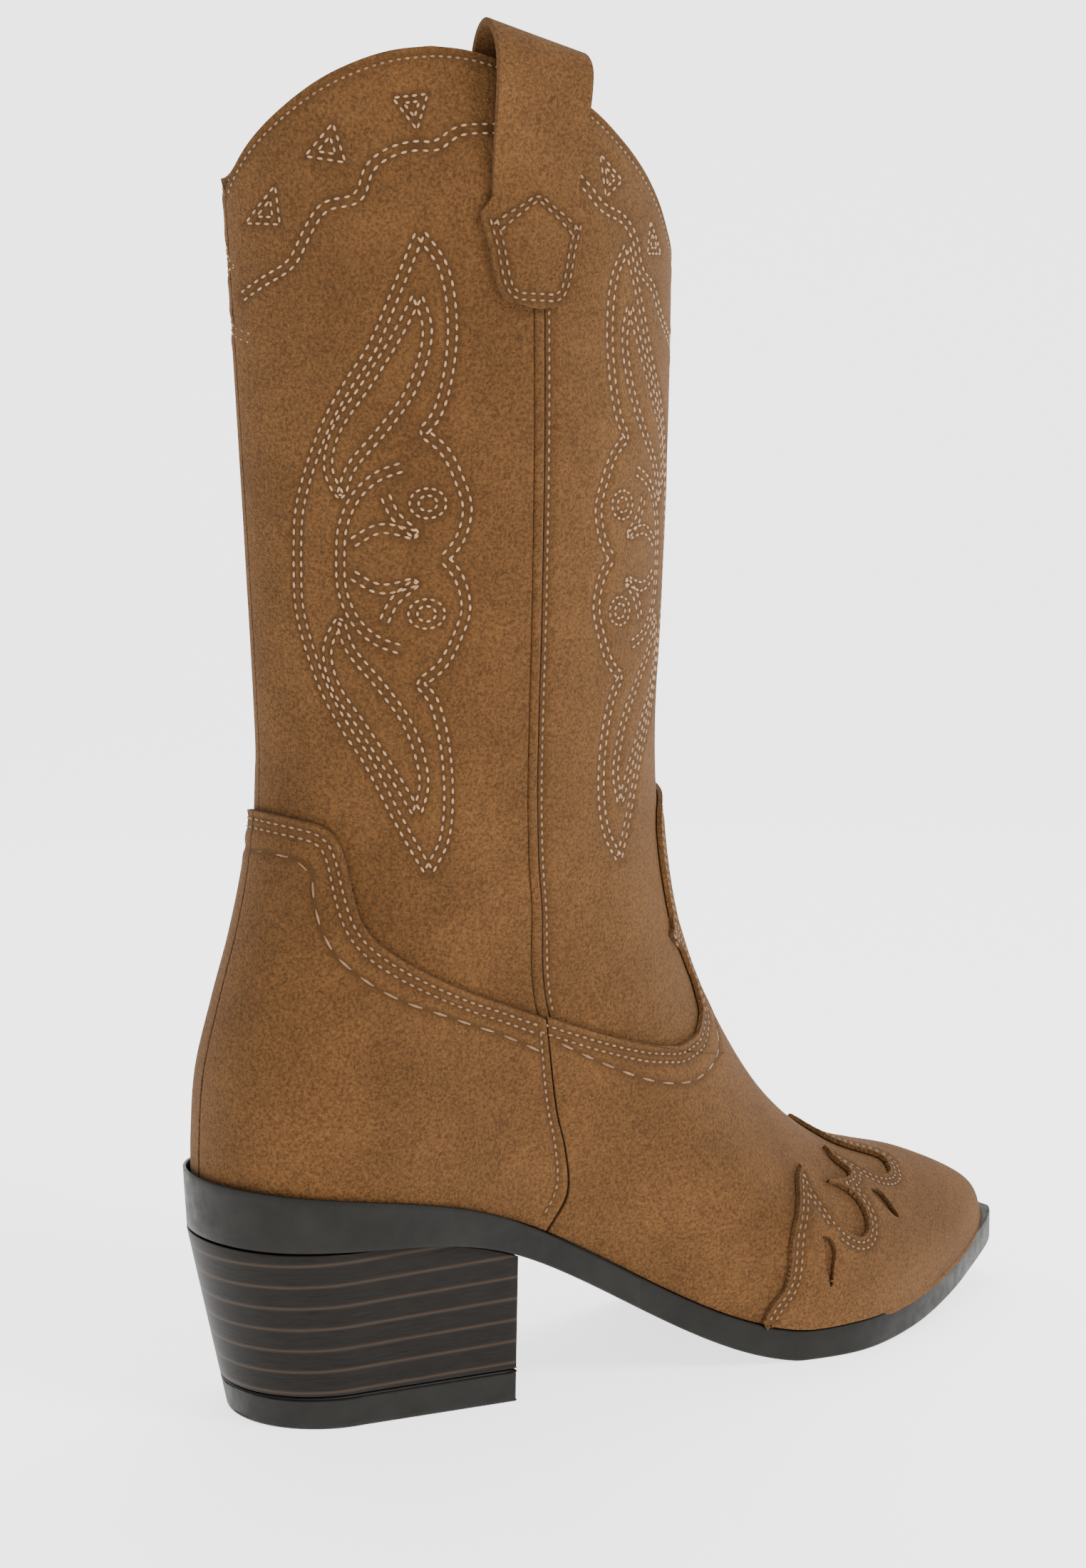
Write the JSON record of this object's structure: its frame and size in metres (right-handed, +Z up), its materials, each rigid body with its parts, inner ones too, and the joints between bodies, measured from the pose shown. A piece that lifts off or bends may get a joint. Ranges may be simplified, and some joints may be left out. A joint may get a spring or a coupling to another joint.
{
  "type": "cowboy boot",
  "caption": "Pull-on western boot in suede with a lined shaft, sewn pull straps, flame-edged toe overlay, sole with a steel shank and a stacked block heel.",
  "frame": {"origin": "on the ground, midway along the sole and midway across the whole boot", "axes": "+X towards the toe, +Y towards the inner side of the foot, +Z up the shaft"},
  "size_m": [0.2814, 0.1019, 0.376],
  "materials": {
    "suede": "napped, matte",
    "lining": "smooth, matte",
    "puff": "matte",
    "stiffener": "matte",
    "board": "matte",
    "foam": "matte",
    "cork": "matte",
    "steel": "satin",
    "sole": "satin",
    "heel_stack": "satin",
    "top_lift": "satin"
  },
  "bodies": {
    "boot": {"vamp": "suede", "toe_cap": "suede", "counter_outer": "suede", "counter_inner": "suede", "shaft_front": "suede", "shaft_back_outer": "suede", "shaft_back_inner": "suede", "side_welt_outer": "suede", "side_welt_inner": "suede", "shaft_lining_front": "lining", "shaft_lining_back": "lining", "vamp_lining": "lining", "heel_lining": "lining", "toe_puff": "puff", "heel_stiffener": "stiffener", "strap_tab_outer": "suede", "strap_tab_inner": "suede", "strap_tail_outer": "suede", "strap_tail_inner": "suede", "insole_board": "board", "heel_pad": "foam", "sock_liner": "lining", "sole_filler": "cork", "shank": "steel", "outsole": "sole", "heel_block": "heel_stack", "top_lift": "top_lift", "heel_screw": "steel", "heel_nails": "steel", "top_lift_nails": "steel"},
    "outer_loop": {"strap_loop_outer": "suede"},
    "inner_loop": {"strap_loop_inner": "suede"}
  },
  "joints": [
    {"name": "outer_loop_hinge", "type": "hinge", "parent": "boot", "child": "outer_loop", "pos_m": [-0.0625, -0.0427, 0.3625], "axis": [1, 0, 0], "range_deg": [-15, 15], "stiffness_Nm_per_rad": 0.02},
    {"name": "inner_loop_hinge", "type": "hinge", "parent": "boot", "child": "inner_loop", "pos_m": [-0.0625, 0.04028, 0.3515], "axis": [1, 0, 0], "range_deg": [-15, 15], "stiffness_Nm_per_rad": 0.02}
  ]
}
